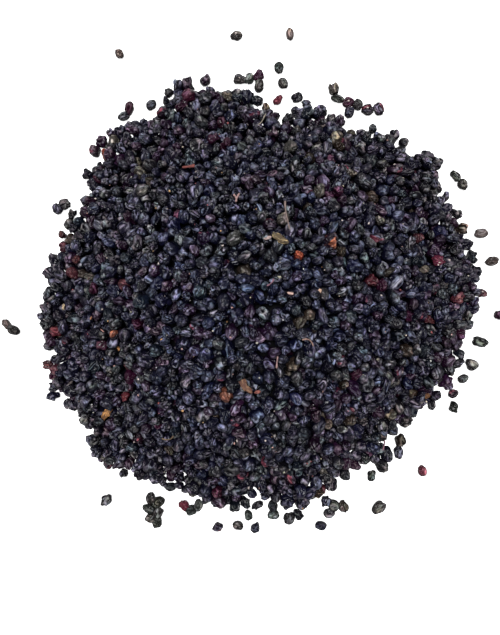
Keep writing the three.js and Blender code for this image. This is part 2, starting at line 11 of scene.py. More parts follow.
import bmesh
import bpy
import numpy as np
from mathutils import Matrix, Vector


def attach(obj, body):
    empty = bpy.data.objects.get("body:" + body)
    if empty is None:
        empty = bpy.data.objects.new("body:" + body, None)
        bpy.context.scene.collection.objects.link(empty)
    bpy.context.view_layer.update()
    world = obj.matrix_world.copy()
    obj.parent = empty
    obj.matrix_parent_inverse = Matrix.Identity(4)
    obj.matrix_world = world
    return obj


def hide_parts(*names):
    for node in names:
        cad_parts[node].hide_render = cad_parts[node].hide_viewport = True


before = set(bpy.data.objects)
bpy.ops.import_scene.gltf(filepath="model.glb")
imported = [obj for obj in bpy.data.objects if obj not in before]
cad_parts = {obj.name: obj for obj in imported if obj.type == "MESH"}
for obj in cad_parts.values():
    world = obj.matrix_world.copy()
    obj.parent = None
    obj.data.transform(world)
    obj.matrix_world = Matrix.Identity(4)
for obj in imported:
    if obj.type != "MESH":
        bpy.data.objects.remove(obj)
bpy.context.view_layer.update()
MM = 0.001
GOLDEN_TURN = math.pi * (3 - math.sqrt(5))

# ---- the heap's shape, in millimetres

HEAP_HEIGHT = 38
CONE_RADIUS = 80
TOP_ROUNDING = 0.25  # share of the cone's radius over which its tip is rounded
# The ragged foot has a radius of its own every 7.5 degrees, from +X through +Y.
FOOT_RADII = [
    86, 87, 83, 83, 82, 89, 82, 83, 76, 78, 77, 70, 76, 83, 87, 86, 81, 84, 83, 80, 76, 77, 77, 81,
    82, 80, 83, 86, 81, 82, 88, 83, 80, 78, 83, 79, 75, 82, 81, 76, 72, 79, 75, 77, 77, 80, 80, 82,
]
# Round the foot the cone ends in a low bank, between these shares of the foot's radius.
BANK_HEIGHT = 8
BANK_FROM = 0.9
BANK_TO = 1

# ---- pouring

LEAST_RADIUS = 1.6
MOST_RADIUS = 2.4
FOOT_SHRINK = 0.14  # berries at the cone's radius are smaller by this share
POUR_SEED = 20261
DRAW_FACTOR = 48271
DRAW_PRIME = 2147483647
DROPS = 10000
ROLL_REACH = 2.6  # how far a wrinkled berry rolls before it stays put
FIRST_STEP = 0.8
LAST_STEP = 0.1
POUR_CLEARANCE = 3.9  # from the middles of the loose berries
DIAGONAL = math.sqrt(0.5)
HALF_COMPASS = np.array([(1, 0), (DIAGONAL, DIAGONAL), (0, 1), (-DIAGONAL, DIAGONAL)])
COMPASS = np.concatenate([HALF_COMPASS, -HALF_COMPASS])

# ---- loose berries

# Middle, length, width and turn in degrees, and the berry's look.
STRAY_BERRIES = [
    (-7.1, 100.0, 4.5, 3.6, 2, "stray"), (13.1, 100.7, 4.5, 3.1, 97, "brownish"),
    (-51.2, 93.2, 3.8, 3.1, 131, "brownish"), (9.0, 87.6, 4.4, 3.8, 85, "greenish"),
    (10.5, 81.9, 4.7, 3.8, 117, "stray"), (8.6, 75.8, 4.4, 3.3, 52, "red"),
    (15.8, 76.6, 4.5, 3.6, 10, "grey"), (-39.1, 73.8, 4.4, 3.7, 60, "grey"),
    (85.0, 25.5, 5.1, 3.8, 176, "brownish"), (89.2, 15.0, 5.0, 3.5, 1, "brownish"),
    (92.0, -5.3, 4.4, 3.4, 80, "maroon"), (84.6, -15.5, 6.0, 4.2, 166, "greenish"),
    (81.7, -24.1, 5.2, 4.2, 137, "stray"), (78.4, -29.2, 4.3, 3.6, 30, "stray"),
    (74.8, -40.1, 4.6, 3.6, 117, "greenish"), (74.6, -34.9, 4.2, 3.5, 20, "red_patch"),
    (63.1, -64.0, 4.4, 3.5, 96, "red"), (46.6, -77.6, 6.1, 4.3, 47, "stray"),
    (43.9, -65.8, 4.4, 3.6, 75, "greenish"), (-56.1, -74.9, 4.8, 4.0, 45, "stray"),
    (-14.0, -85.2, 4.3, 3.4, 15, "red_patch"), (-6.5, -84.5, 4.5, 3.6, 150, "stray"),
    (0.2, -85.4, 4.2, 3.6, 40, "dark"), (24.8, -84.6, 4.6, 3.6, 170, "dark"),
    (0.9, -77.1, 4.6, 3.3, 35, "grey"), (-2.4, -80.8, 4.2, 3.5, 100, "greenish"),
]
STRAY_CLUMPS = [
    [
        (29.5, 79.8, 4.3, 3.7, 110, "pale"), (31.1, 76.3, 4.8, 3.2, 160, "greenish"),
        (35.0, 74.7, 4.2, 3.6, 20, "maroon"), (38.5, 73.9, 4.6, 3.6, 140, "stray"),
        (35.5, 71.1, 4.0, 3.4, 70, "pale_dot"), (42.4, 71.9, 4.7, 3.8, 10, "red_patch"),
        (46.4, 72.2, 4.6, 3.8, 120, "red_patch"),
    ],
    [
        (-5.9, 83.3, 4.6, 3.6, 165, "stray"), (-2.2, 83.7, 4.2, 3.6, 60, "greenish"),
        (1.3, 84.8, 4.3, 3.7, 30, "maroon"), (1.5, 81.0, 4.6, 3.6, 80, "stray"),
    ],
    [
        (-39.2, -74.3, 4.4, 3.7, 100, "stray"), (-36.3, -75.7, 4.2, 3.6, 30, "greenish"),
        (-39.9, -78.1, 4.6, 3.6, 150, "greenish"), (-36.6, -79.3, 4.4, 3.8, 70, "stray"),
        (-39.4, -81.7, 4.2, 3.6, 10, "stray"), (-36.9, -83.2, 4.5, 3.6, 95, "greenish"),
    ],
    [
        (-27.1, -76.9, 4.6, 3.7, 130, "red"), (-24.0, -78.9, 4.5, 3.6, 20, "greenish"),
        (-21.2, -76.9, 4.3, 3.6, 80, "greenish"),
    ],
    [(12.8, -81.8, 4.6, 3.9, 60, "stray"), (16.2, -80.5, 4.2, 3.6, 140, "grey")],
    [
        (26.6, -75.5, 4.4, 3.6, 70, "dark"), (29.7, -77.0, 4.5, 3.7, 150, "greenish"),
        (27.9, -79.9, 4.3, 3.6, 20, "grey"), (33.2, -77.5, 4.6, 3.6, 100, "brown"),
    ],
    [(-74.3, 34.5, 4.4, 3.7, 100, "dark"), (-71.7, 36.3, 4.2, 3.8, 30, "stray")],
    [(-91.0, -10.9, 4.6, 3.7, 150, "stray"), (-93.7, -8.9, 4.0, 2.9, 120, "brownish")],
    [(-47.4, 72.5, 4.8, 3.2, 74, "maroon"), (-49.4, 69.5, 4.4, 3.2, 12, "grey")],
    [(75.6, 47.0, 4.5, 3.4, 130, "greenish"), (78.2, 43.8, 4.4, 3.5, 110, "stray")],
    [(54.6, -52.4, 4.6, 3.7, 95, "brown"), (54.2, -56.9, 4.8, 3.7, 85, "dark")],
    [(7.0, -80.4, 4.4, 3.7, 20, "greenish"), (6.7, -77.2, 4.3, 3.6, 100, "grey")],
]
STRAY_SPOTS = np.array([stray[:2] for stray in STRAY_BERRIES + sum(STRAY_CLUMPS, [])])
SHOWN_CLEARANCE = 4.6  # no wrinkled berry of the heap lies nearer to their middles

# ---- bits of stalk and husk

# Three places that a stalk passes over, its radius at either end, and its colour.
STALK_BITS = [
    ([(9.1, 30.2), (9.2, 26.1), (10.2, 20.3)], 0.30, 0.13, (0.125, 0.09, 0.082)),
    ([(5.2, 5.4), (4.6, 4.2), (3.1, 3.2)], 0.22, 0.16, (0.12, 0.058, 0.078)),
    ([(13.9, -13.1), (16.2, -13.1), (17.6, -15.2)], 0.20, 0.16, (0.17, 0.104, 0.086)),
    ([(6.6, -18.1), (6.4, -19.8), (6.3, -21.9)], 0.18, 0.30, (0.19, 0.116, 0.112)),
    ([(-32.8, -48.5), (-30.1, -48.7), (-28.3, -47.0)], 0.22, 0.18, (0.088, 0.058, 0.036)),
    ([(3.9, 68.6), (2.7, 65.3), (0.8, 62.9)], 0.20, 0.16, (0.18, 0.156, 0.124)),
    ([(-5.3, 33.0), (-6.1, 31.0), (-6.2, 30.0)], 0.26, 0.34, (0.19, 0.116, 0.112)),
    ([(47.1, -51.0), (47.1, -53.0), (46.6, -54.9)], 0.22, 0.28, (0.12, 0.058, 0.078)),
    ([(-25.2, 45.3), (-23.1, 45.3), (-20.6, 45.5)], 0.30, 0.56, (0.1, 0.026, 0.022)),
]
# A stalk's second arm, by the stalk's number.
FORKS = {7: [(-6.1, 31.0), (-6.5, 31.9), (-7.1, 32.5)]}
# Middle, length, width and turn in degrees of a husk, and its look.
HUSK_BITS = [
    (7.2, 17.5, 5.2, 2.4, 148, "olive_husk"), (-3.9, -27.2, 6.6, 2.6, 121, "light_husk"),
    (-53.8, -41.0, 5.4, 2.8, 54, "golden_husk"), (63.1, -35.1, 2.6, 2.2, 20, "golden_husk"),
]

# ---- looks of the skins


@dataclass
class Look:
    """Linear colours of a berry in thousandths: its skin, its bloom and a blush on part of it."""

    skin: tuple
    bloom: tuple
    weight: int = 0  # how often it comes up in the heap, beside the others
    blush: tuple = None
    blush_share: float = 0


LOOKS = {
    "dark": Look((1.8, 1.6, 4.8), (114, 112, 160), 430),
    "blue": Look((1.8, 1.9, 7), (98, 102, 156), 110),
    "grey": Look((2.6, 2.5, 4.2), (140, 141, 160), 190),
    "teal": Look((1.7, 2.4, 4.8), (106, 124, 144), 60),
    "plum": Look((4.8, 1.4, 5.6), (118, 92, 136), 100),
    "maroon": Look((10, 1.6, 6), (96, 40, 72), 8),
    "brown": Look((7.5, 5, 4), (142, 116, 96), 14),
    "red_patch": Look((4, 1.8, 5.4), (112, 96, 134), 30, (200, 32, 52), 0.28),
    "pale_dot": Look((2.6, 2, 5.4), (120, 112, 152), 20, (340, 280, 250), 0.08),
    "red": Look((30, 5, 9), (260, 80, 105)),
    "rose": Look((18, 5, 8), (185, 78, 86)),
    "orange": Look((60, 8, 4), (330, 76, 40)),
    "tan": Look((40, 13, 8), (250, 108, 78)),
    "orange_patch": Look((4, 2, 4.4), (120, 106, 124), 0, (340, 100, 40), 0.46),
    "pale": Look((20, 18, 16), (200, 182, 160), 6),
    "stray": Look((7, 5.6, 6), (150, 142, 140)),
    "greenish": Look((5.6, 6.2, 5.4), (140, 152, 136)),
    "brownish": Look((34, 24, 22), (205, 152, 138)),
    "olive_husk": Look((24, 16, 8), (190, 142, 76)),
    "light_husk": Look((42, 16, 11), (235, 140, 80)),
    "golden_husk": Look((30, 10, 3), (300, 145, 46)),
}
# By these factors, as a rule, a berry's skin and bloom are lighter or darker than its look.
SKIN_SPREAD = 1.3
BLOOM_SPREAD = 1.6
GLOW_LIMITS = (-2, 1.05)  # the power of BLOOM_SPREAD stays between these
WARMTH_SPREAD = 0.05
DOTTED_SHARE = 0.09  # of the berries show the scar of their flower
# The share of the bloom that is left on a berry that hardly shows, and on a hidden one: painted
# shade for the berries that others cover.
SUNK_SHADE_TONE = 0.05
BACKING_SHADE_TONE = 0.07

# Dry bits of skin, stalk and flower among the berries, too small to be parts.
CRUMB_COLOURS = [
    (0.40, 0.36, 0.30), (0.34, 0.20, 0.18), (0.26, 0.24, 0.17),
    (0.30, 0.08, 0.08), (0.36, 0.34, 0.33), (0.26, 0.15, 0.07),
]
# Middle, length, width and turn in degrees of larger ones, and their colours.
CHIPS = [
    (7.0, 6.1, 2.2, 0.8, 0, (0.30, 0.29, 0.22)), (3.5, 17.7, 2.4, 1.1, 10, (0.22, 0.16, 0.15)),
    (10.3, 0.9, 2.6, 1.2, 165, (0.30, 0.20, 0.17)), (19.3, 1.7, 1.6, 1.4, 90, (0.34, 0.22, 0.16)),
    (0.5, -29.7, 2.2, 1.3, 5, (0.16, 0.05, 0.04)),
    (-48.2, -17.4, 3.4, 1.1, 120, (0.28, 0.13, 0.05)),
    (-58.2, -6.4, 2.6, 0.6, 60, (0.28, 0.12, 0.06)),
    (-53.0, -11.0, 2.6, 0.5, 140, (0.28, 0.14, 0.12)),
    (-69.8, -2.4, 2.4, 1.2, 90, (0.32, 0.24, 0.15)),
]
CRUMBS = 150
CRUMB_RADIUS = (0.18, 0.42)
CRUMB_SHADE = 0.3  # their darker spots have this share of their light

# ---- camera

PICTURE = (500, 635)
CAMERA_AT = Vector((-1.9, -6.27, 170))
FLOOR_SCALE = 0.38  # millimetres of floor to a pixel of the picture
SENSOR = 36  # width of the camera's sensor

# Berries of the heap that have a look of their own, by the pixels in which they show.
ACCENTS = {
    "orange": [(300, 258), (104, 154)],
    "red": [(377, 281), (52, 333), (327, 491), (127, 399), (439, 259)],
    "red_patch": [
        (339, 301), (66, 265), (245, 472), (320, 453), (202, 326), (225, 380), (398, 367),
        (458, 340), (444, 392), (90, 157), (469, 306),
    ],
    "maroon": [
        (326, 158), (341, 192), (399, 396), (355, 372), (191, 98), (185, 104), (224, 122),
        (49, 380), (98, 290), (127, 376), (411, 316),
    ],
    "plum": [(206, 92), (196, 88)],
    "grey": [(203, 97), (172, 90), (302, 332)],
    "rose": [
        (66, 236), (64, 248), (78, 258), (70, 275), (47, 363), (54, 374), (121, 285), (125, 365),
        (421, 235), (481, 292), (428, 324), (460, 295),
    ],
    "orange_patch": [(115, 337), (324, 245)],
    "dark": [(392, 284)],
    "tan": [(225, 394)],
    "brown": [(304, 322), (106, 162), (412, 212), (348, 172), (306, 121), (262, 109), (288, 374)],
    "pale_dot": [(141, 239), (320, 290), (421, 301), (280, 276), (292, 293), (257, 318)],
    "pale": [(277, 220)],
}

# ---- the pour


def seeded_draw(seed):
    """Lehmer's generator, as in the model."""
    state = seed

    def draw(low, high):
        nonlocal state
        state = (state * DRAW_FACTOR) % DRAW_PRIME
        return low + ((high - low) * state) / DRAW_PRIME

    return draw


def foot_radius(x, y):
    count = len(FOOT_RADII)
    turn = (math.atan2(y, x) / math.tau + 1) * count
    before = math.floor(turn)
    share = turn - before
    ease = share * share * (3 - 2 * share)
    return FOOT_RADII[before % count] * (1 - ease) + FOOT_RADII[(before + 1) % count] * ease


def foot_share(x, y):
    return math.sqrt(x * x + y * y) / foot_radius(x, y)


def cone_share(x, y):
    """The square of how far out a point is, as a share of the cone's radius."""
    return (x * x + y * y) / (CONE_RADIUS * CONE_RADIUS)


def heap_height(x, y):
    rounded = math.sqrt(cone_share(x, y) + TOP_ROUNDING * TOP_ROUNDING)
    cone = (HEAP_HEIGHT * (1 - rounded)) / (1 - TOP_ROUNDING)
    bank = BANK_HEIGHT * min(1, (BANK_TO - foot_share(x, y)) / (BANK_TO - BANK_FROM))
    return max(cone, bank)


def way_out(x, y):
    """The way out of the heap, square to its slope."""
    step = 2
    east = heap_height(x - step, y) - heap_height(x + step, y)
    north = heap_height(x, y - step) - heap_height(x, y + step)
    return Vector((east, north, 2 * step)).normalized()


def resting_heights(spots, r, near):
    """The heights at which a berry's middle comes to rest over some spots."""
    dx = spots[:, :1] - near[:, 0]
    dy = spots[:, 1:2] - near[:, 1]
    reach = r + near[:, 3]
    rise = reach * reach - dx * dx - dy * dy
    over = np.where(rise > 0, near[:, 2] + np.sqrt(np.maximum(rise, 0)), r)
    return over.max(1, initial=r)


def roll_down(x, y, r, near):
    """Rolls a berry downhill from where it lands, in ever smaller steps."""
    at = np.array((x, y))
    z = resting_heights(at[None], r, near)[0]
    step = FIRST_STEP
    while step > LAST_STEP:
        spots = at + COMPASS * step
        heights = resting_heights(spots, r, near)
        strayed = np.square(spots - (x, y)).sum(1)
        heights[strayed > ROLL_REACH * ROLL_REACH] = np.inf
        lowest = heights.argmin()
        if heights[lowest] < z:
            at, z = spots[lowest], heights[lowest]
        else:
            step /= 2
    return (*at, z)


def stray_gap(x, y):
    """How far the nearest loose berry's middle is, seen from above."""
    return np.hypot(STRAY_SPOTS[:, 0] - x, STRAY_SPOTS[:, 1] - y).min()


def pour_berries():
    """Every berry of the heap, as rows of x, y, z and radius, in millimetres."""
    draw = seeded_draw(POUR_SEED)
    widest = BANK_TO * max(FOOT_RADII)
    reach = ROLL_REACH + 2 * MOST_RADIUS
    bins, berries, drops = {}, [], 0
    while drops < DROPS:
        x = draw(-widest, widest)
        y = draw(-widest, widest)
        level = draw(0, HEAP_HEIGHT)
        r = draw(LEAST_RADIUS, MOST_RADIUS) * (1 - FOOT_SHRINK * cone_share(x, y))
        if level > heap_height(x, y):
            continue
        drops += 1
        column, row = math.floor(x / reach), math.floor(y / reach)
        near = [
            berry
            for i in (column - 1, column, column + 1)
            for j in (row - 1, row, row + 1)
            for berry in bins.get((i, j), ())
        ]
        x, y, z = roll_down(x, y, r, np.array(near).reshape(-1, 4))
        too_high = z > max(r, heap_height(x, y))
        if too_high or foot_share(x, y) > BANK_TO or stray_gap(x, y) < POUR_CLEARANCE:
            continue
        berries.append((x, y, z, r))
        key = (math.floor(x / reach), math.floor(y / reach))
        bins.setdefault(key, []).append(berries[-1])
    return np.array(berries)


# ---- what shows

CELL = 0.3  # of the grid on which berries hide each other, in millimetres
FIELD = 95
CLEAR_SHARE = 0.45  # a berry that shows more of itself than this from above is a clear one
SHOWN_SHARE = 0.10  # and one that shows more than this is still an outer one
FOOT_ZONE = 0.86  # all berries further out are outer ones, for they show from the side
BACKING_DEPTH = 8  # berries less deep than this fill the gaps between the outer ones


def shares_from_above(berries):
    """The share of each berry's disc that no other berry covers."""
    count = int(2 * FIELD / CELL)
    ticks = (np.arange(count) + 0.5) * CELL - FIELD
    top = np.full((count, count), -1.0)
    owner = np.full((count, count), -1)
    for index, (x, y, z, r) in enumerate(berries):
        columns = slice(*np.searchsorted(ticks, (x - r, x + r)))
        rows = slice(*np.searchsorted(ticks, (y - r, y + r)))
        patch = (rows, columns)
        dx, dy = ticks[None, columns] - x, ticks[rows, None] - y
        inside = r * r - dx * dx - dy * dy
        height = np.where(inside > 0, z + np.sqrt(np.maximum(inside, 0)), -1.0)
        higher = height > top[patch]
        top[patch][higher] = height[higher]
        owner[patch][higher] = index
    cells = np.bincount(owner[owner >= 0], minlength=len(berries))
    return cells * CELL * CELL / (math.pi * berries[:, 3] ** 2)


# ---- node helpers


def put(tree, kind, feeds=None, **settings):
    """Adds a node to a tree. A socket among its feeds is linked, and a value is set."""
    node = tree.nodes.new(kind)
    for name, value in settings.items():
        setattr(node, name, value)
    for key, feed in (feeds or {}).items():
        if isinstance(feed, bpy.types.NodeSocket):
            tree.links.new(feed, node.inputs[key])
        else:
            node.inputs[key].default_value = feed
    return node


def made(tree, kind, feeds=None, **settings):
    """The first output of a new node."""
    return put(tree, kind, feeds, **settings).outputs[0]


def maths(tree, operation, *feeds):
    return made(tree, "ShaderNodeMath", dict(enumerate(feeds)), operation=operation)


def total(tree, *feeds):
    return reduce(lambda before, feed: maths(tree, "ADD", before, feed), feeds)


def product(tree, *feeds):
    return reduce(lambda before, feed: maths(tree, "MULTIPLY", before, feed), feeds)


def vectors(tree, operation, *feeds):
    return made(tree, "ShaderNodeVectorMath", dict(enumerate(feeds)), operation=operation)


def scaled(tree, vector, factor):
    return made(tree, "ShaderNodeVectorMath", {0: vector, "Scale": factor}, operation="SCALE")


def ramped(tree, value, low, high, to_low=0.0, to_high=1.0):
    feeds = {"Value": value, "From Min": low, "From Max": high, "To Min": to_low, "To Max": to_high}
    return made(tree, "ShaderNodeMapRange", feeds, interpolation_type="SMOOTHSTEP")


def noise(tree, place, scale, detail=0.0, roughness=0.5, output=0):
    feeds = {"Vector": place, "Scale": scale, "Detail": detail, "Roughness": roughness}
    return put(tree, "ShaderNodeTexNoise", feeds).outputs[output]


def mixed(tree, share, first, second):
    feeds = {0: share, 6: first, 7: second}
    return put(tree, "ShaderNodeMix", feeds, data_type="RGBA", clamp_factor=True).outputs[2]


def new_tree(name, kind, takes, gives):
    """A node tree with its sockets, and the sockets inside that stand for them."""
    tree = bpy.data.node_groups.new(name, kind)
    for in_out, sockets in (("INPUT", takes), ("OUTPUT", gives)):
        for label, (kind_of_socket, value) in sockets.items():
            socket_type = "NodeSocket" + kind_of_socket
            socket = tree.interface.new_socket(label, in_out=in_out, socket_type=socket_type)
            if value is not None:
                socket.default_value = value
    return tree, put(tree, "NodeGroupInput").outputs, put(tree, "NodeGroupOutput").inputs


def stored(tree, geometry, name, value, kind="FLOAT_VECTOR"):
    feeds = {"Geometry": geometry, "Name": name, "Value": value}
    return made(tree, "GeometryNodeStoreNamedAttribute", feeds, data_type=kind, domain="POINT")


def read(tree, name, kind="FLOAT_VECTOR"):
    return made(tree, "GeometryNodeInputNamedAttribute", {"Name": name}, data_type=kind)


# ---- the crumpled skin

ALONG_BERRY = (0.5, 1.0, 1.0)  # folds are drawn out along a berry's length
FOLD_NOISE = {"scale": 0.95, "detail": 1.6, "roughness": 0.42}
FOLD_RISE = (0.03, 0.44)
CREASE_NOISE = {"scale": 2.1, "detail": 0.6}
CREASE_WIDTH = 0.06


def skin_place(tree, local, seed):
    """Where a spot of a berry lies in the noises that shape and colour its skin."""
    return vectors(tree, "ADD", vectors(tree, "MULTIPLY", local, ALONG_BERRY), seed)


def crumpled(tree, place, folds):
    """How high a dried skin's folds stand, from 0 to 1: bands of a slow noise, and creases."""
    slow = noise(tree, place, **FOLD_NOISE)
    band = maths(tree, "PINGPONG", product(tree, slow, folds), 0.5)
    broad = ramped(tree, band, *FOLD_RISE)
    quick = noise(tree, place, **CREASE_NOISE)
    crease = maths(tree, "ABSOLUTE", maths(tree, "SUBTRACT", quick, 0.5))
    fine = ramped(tree, crease, 0.0, CREASE_WIDTH)
    return broad, fine


# ---- a berry of its own

# What an attribute of so many numbers is, and what its values are called.
NOTES = {1: ("FLOAT", "value"), 3: ("FLOAT_VECTOR", "vector"), 4: ("FLOAT_COLOR", "color")}
SEED_REACH = 90  # how far apart two berries may lie in the noises
FOLDS = (2.6, 5.4)  # how many folds a full swing of the slow noise would have
CRUMPLE = (0.5, 1.4)  # how deep dents and folds are on one berry, beside another
LEAST_REACH = 0.84  # of a berry's skin from its middle, before folds and lumps
LUMP_SCALE = 0.9
LUMP_HEIGHT = 0.16
HOLLOW_SCALE = 0.8
HOLLOW_RISE = (0.42, 0.66)
# The stalk end is drawn in: from where on, as a share of the half-length, and how deep.
STALK_END = (0.72, 1.0)
STALK_END_DEPTH = -0.16


@dataclass
class Berry:
    middle: tuple  # in millimetres, as are the half-lengths
    half: tuple
    turn: tuple
    look: str
    out: tuple = (0.0, 0.0, 1.0)  # the way that its finer side faces
    tone: float = 1.0  # how much of its bloom is left; less of it is painted shade
    warmth: float = 0.0
    colour: tuple = ()  # of a chip


def colours_of(berry, rng):
    """A berry's skin, its bloom, its blush and the share of it that the blush covers."""
    if berry.look in LOOKS:
        look = LOOKS[berry.look]
        colours = np.array((look.skin, look.bloom, look.blush or look.bloom)) / 1000
        return (*colours, look.blush_share)
    colour = berry.colour or CRUMB_COLOURS[int(rng.integers(len(CRUMB_COLOURS)))]
    return tuple(CRUMB_SHADE * part for part in colour), colour, colour, 0


def placed(name, data):
    """A mesh, a light or a camera as an object of the scene."""
    piece = bpy.data.objects.new(name, data)
    bpy.context.scene.collection.objects.link(piece)
    return piece


def new_mesh(name, spots, faces=()):
    mesh = bpy.data.meshes.new(name)
    mesh.from_pydata(spots, [], faces)
    return mesh


def note(mesh, name, rows):
    """Keeps a number, a vector or a colour for each point of a mesh."""
    rows = np.asarray(rows, np.float32)
    kind, key = NOTES[rows[0].size]
    mesh.attributes.new(name, kind, "POINT").data.foreach_set(key, rows.ravel())


def berry_points(name, berries, rng):
    """One point for each berry, which carries its size, its turn and its colours."""
    mesh = new_mesh(name + "_points", [Vector(berry.middle) * MM for berry in berries])
    count = len(berries)
    note(mesh, "half", [np.array(berry.half) * MM for berry in berries])
    note(mesh, "turn", [berry.turn for berry in berries])
    note(mesh, "out", [berry.out for berry in berries])
    note(mesh, "seed", rng.uniform(-SEED_REACH, SEED_REACH, (count, 3)))
    note(mesh, "folds", rng.uniform(*FOLDS, count))
    note(mesh, "crumple", rng.uniform(*CRUMPLE, count))
    lift = rng.normal(0, 1, count)
    glow = rng.normal(0, 1, count).clip(*GLOW_LIMITS)
    warmth = rng.normal(0, 1, count)
    skins, blooms, blushes = [], [], []
    for berry, light, bright, warm in zip(berries, lift, glow, warmth):
        skin, bloom, blush, share = colours_of(berry, rng)
        if berry.colour:  # a chip has just the colour that it is given
            light = bright = warm = 0.0
        warm = berry.warmth + WARMTH_SPREAD * warm
        hue = np.array((1 + warm, 1.0, 1 - warm))
        skins.append((*(np.array(skin) * hue * SKIN_SPREAD**light), 1))
        blooms.append((*(np.array(bloom) * hue * BLOOM_SPREAD**bright * berry.tone), 1))
        blushes.append((*blush, share))
    note(mesh, "skin", skins)
    note(mesh, "bloom", blooms)
    note(mesh, "blush", blushes)
    note(mesh, "dot", rng.uniform(0, 1, count) < DOTTED_SHARE)
    return placed(name, mesh)


def ball_of(tree, corners, crowding):
    """A closed ball, its corners spread as a sunflower's seeds are and crowded at its top."""
    index = made(tree, "GeometryNodeInputIndex")
    share = maths(tree, "DIVIDE", total(tree, index, 0.5), corners)
    late = product(tree, maths(tree, "POWER", share, 4.0), crowding)
    even = product(tree, share, maths(tree, "SUBTRACT", 1.0, crowding))
    height = maths(tree, "MULTIPLY_ADD", total(tree, even, late), -2.0, 1.0)
    out = maths(tree, "SQRT", maths(tree, "SUBTRACT", 1.0, product(tree, height, height)))
    turn = product(tree, index, GOLDEN_TURN)
    east = product(tree, out, maths(tree, "COSINE", turn))
    north = product(tree, out, maths(tree, "SINE", turn))
    spot = made(tree, "ShaderNodeCombineXYZ", {0: east, 1: north, 2: height})
    points = made(tree, "GeometryNodePoints", {"Count": corners, "Position": spot})
    return made(tree, "GeometryNodeConvexHull", {"Geometry": points})


def wrinkled_berries_tree():
    """Grows a berry on each point: a ball that has sunk in here and there, with folds."""
    takes = {
        "Geometry": ("Geometry", None),
        "Corners": ("Int", 200),
        "Crowding": ("Float", 0.45),
        "Swell": ("Float", 1.0),
        "Dent Depth": ("Float", 0.36),
        "Fold Height": ("Float", 0.16),
        "Crease Depth": ("Float", 0.045),
        "Material": ("Material", None),
    }
    gives = {"Geometry": ("Geometry", None)}
    tree, given, result = new_tree("wrinkled_berries", "GeometryNodeTree", takes, gives)
    position = made(tree, "GeometryNodeInputPosition")

    points = stored(tree, given["Geometry"], "middle", position)
    ball = ball_of(tree, given["Corners"], given["Crowding"])
    feeds = {"Vector": read(tree, "out")}
    tilt = made(tree, "FunctionNodeAlignRotationToVector", feeds, axis="Z")
    feeds = {"Points": points, "Instance": ball, "Rotation": tilt}
    grown = made(tree, "GeometryNodeInstanceOnPoints", feeds)
    whole = made(tree, "GeometryNodeRealizeInstances", {"Geometry": grown})

    # Where a corner lies on its berry, as the berry itself is turned.
    middle = read(tree, "middle")
    turn = made(tree, "FunctionNodeEulerToRotation", {0: read(tree, "turn")})
    turn_back = made(tree, "FunctionNodeInvertRotation", {0: turn})
    arm = vectors(tree, "SUBTRACT", position, middle)
    level = made(tree, "FunctionNodeRotateVector", {"Vector": arm, "Rotation": turn_back})
    kept = stored(tree, whole, "local", level)
    # How squarely its place on the berry faces up and out of the heap, towards the light: the skin
    # paints shade where it faces away.
    lit_way = vectors(tree, "ADD", read(tree, "out"), (0.0, 0.0, 1.0))
    feeds = {0: arm, 1: vectors(tree, "NORMALIZE", lit_way)}
    facing = put(tree, "ShaderNodeVectorMath", feeds, operation="DOT_PRODUCT").outputs["Value"]
    kept = stored(tree, kept, "facing", facing, "FLOAT")

    local = read(tree, "local")
    seed = read(tree, "seed")
    broad, fine = crumpled(tree, skin_place(tree, local, seed), read(tree, "folds", "FLOAT"))
    crumple = read(tree, "crumple", "FLOAT")
    slack = noise(tree, vectors(tree, "ADD", local, seed), HOLLOW_SCALE)
    hollow = ramped(tree, slack, *HOLLOW_RISE)
    lump = noise(tree, vectors(tree, "SUBTRACT", local, seed), LUMP_SCALE)
    pole = put(tree, "ShaderNodeSeparateXYZ", {0: local}).outputs[2]
    drawn_in = ramped(tree, pole, *STALK_END, 0.0, STALK_END_DEPTH)
    dents = product(tree, hollow, given["Dent Depth"], crumple)
    ridges = product(tree, broad, given["Fold Height"], crumple)
    creases = product(tree, fine, given["Crease Depth"])
    plain = maths(tree, "MULTIPLY_ADD", lump, LUMP_HEIGHT, LEAST_REACH)
    reach = total(tree, maths(tree, "SUBTRACT", ridges, dents), creases, plain, drawn_in)

    size = scaled(tree, read(tree, "half"), given["Swell"])
    shaped = scaled(tree, vectors(tree, "MULTIPLY", local, size), reach)
    shaped = made(tree, "FunctionNodeRotateVector", {"Vector": shaped, "Rotation": turn})
    # Nothing reaches into the surface that the heap lies on.
    spot = vectors(tree, "MAXIMUM", vectors(tree, "ADD", middle, shaped), (-1.0, -1.0, 0.0))
    formed = made(tree, "GeometryNodeSetPosition", {"Geometry": kept, "Position": spot})
    smooth = made(tree, "GeometryNodeSetShadeSmooth", {"Geometry": formed})
    feeds = {"Geometry": smooth, "Material": given["Material"]}
    tree.links.new(made(tree, "GeometryNodeSetMaterial", feeds), result["Geometry"])
    return tree


def grown_mesh(piece, tree, **inputs):
    """Runs a tree on a piece, which becomes the plain mesh that comes out."""
    modifier = piece.modifiers.new(tree.name, "NODES")
    modifier.node_group = tree
    for socket in tree.interface.items_tree:
        label = socket.name.replace(" ", "_").lower()
        if socket.in_out == "INPUT" and label in inputs:
            modifier[socket.identifier] = inputs[label]
    bpy.context.view_layer.update()
    depsgraph = bpy.context.evaluated_depsgraph_get()
    mesh = bpy.data.meshes.new_from_object(piece.evaluated_get(depsgraph), depsgraph=depsgraph)
    piece.modifiers.remove(modifier)
    spent, piece.data = piece.data, mesh
    bpy.data.meshes.remove(spent)
    mesh.name = piece.name
    return piece


BERRY_STRETCH = (1.24, 1.06, 0.96)  # a berry's half-lengths, by the radius that it rolls as
STRETCH_SPREAD = 0.09
STRETCH_LIMITS = (0.8, 1.2)
FOOT_SWELL = 0.22  # berries at the cone's radius are fuller by this share
# Berries on the lower slope have a little less bloom, as painted shade that rounds the heap, and
# those at the foot are warmer.
SLOPE_MIDDLE = 0.76
SLOPE_REACH = 0.20
SLOPE_SHADE = 0.22
TOP_WARMTH = -0.09
FOOT_WARMTH = 0.08
